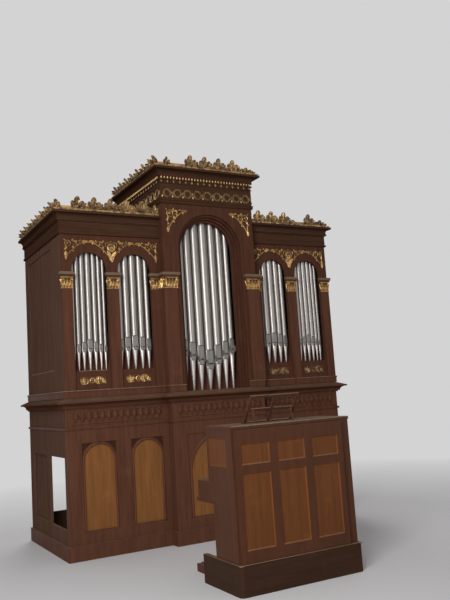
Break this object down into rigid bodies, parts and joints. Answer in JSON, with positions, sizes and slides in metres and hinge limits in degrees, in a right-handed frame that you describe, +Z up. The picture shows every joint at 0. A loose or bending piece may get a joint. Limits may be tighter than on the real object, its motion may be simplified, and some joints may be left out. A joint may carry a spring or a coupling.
{
  "type": "pipe organ",
  "caption": "Church pipe organ with a two-storey carved wooden case, arched pipe openings, gilded ornament and a separate panelled console.",
  "frame": {"origin": "on the floor, under the middle of the whole bounding box, so in the middle plane of the case and between the console's plinth and the back of the case", "axes": "+Z up; +X to the right of someone facing the pipes; +Y from the console towards the back of the case"},
  "size_m": [3.706, 3.805, 4.3519],
  "materials": {
    "case_wood": "red-brown varnished pine, dusty",
    "side_wood": "dull brown varnish, worn",
    "cornice_wood": "brown varnish with dust on the top edges",
    "carved_wood": "carved and varnished",
    "ochre_panel": "ochre-brown varnished panels",
    "gilding": "gold leaf over carved wood, worn",
    "pipe_metal": "tin alloy, satin",
    "plinth_wood": "dark brown paint",
    "console_frame_wood": "dark red-brown varnish",
    "console_panel_wood": "orange-brown varnished pine",
    "desk_wood": "dark varnish",
    "key_white": "ivory coloured",
    "key_black": "black polished"
  },
  "bodies": {
    "root": {"case_skirting": "case_wood", "lower_side_fronts": "case_wood", "lower_centre_front": "case_wood", "lower_panels": "ochre_panel", "case_sides": "side_wood", "case_backs": "side_wood", "bay_panels": "side_wood", "lower_moulding": "case_wood", "frieze_carving": "carved_wood", "mid_cornice": "cornice_wood", "case_deck": "side_wood", "upper_base": "case_wood", "upper_side_fronts": "case_wood", "upper_centre_front": "case_wood", "centre_arch_steps": "case_wood", "tower_sides": "case_wood", "side_roofs": "side_wood", "middle_roofs": "side_wood", "side_entablatures": "cornice_wood", "centre_entablature": "cornice_wood", "pilasters": "case_wood", "capitals": "gilding", "abacus_slabs": "cornice_wood", "ring_frieze": "gilding", "bead_strip": "gilding", "spandrel_ornament": "gilding", "relief_panels": "gilding", "crest_fillets": "gilding", "crest_leaves": "gilding", "toe_boards": "case_wood", "foot_backboards": "case_wood", "side_pipes": "pipe_metal", "centre_pipes": "pipe_metal", "console_plinth": "plinth_wood", "console_sides": "console_frame_wood", "console_back_frame": "console_frame_wood", "console_back_panels": "console_panel_wood", "console_top": "console_frame_wood", "keydesk": "console_frame_wood", "manual_naturals": "key_white", "manual_sharps": "key_black", "stop_knobs": "key_white", "pedal_frame": "console_frame_wood", "pedal_keys": "console_panel_wood", "music_desk": "desk_wood"}
  },
  "joints": []
}
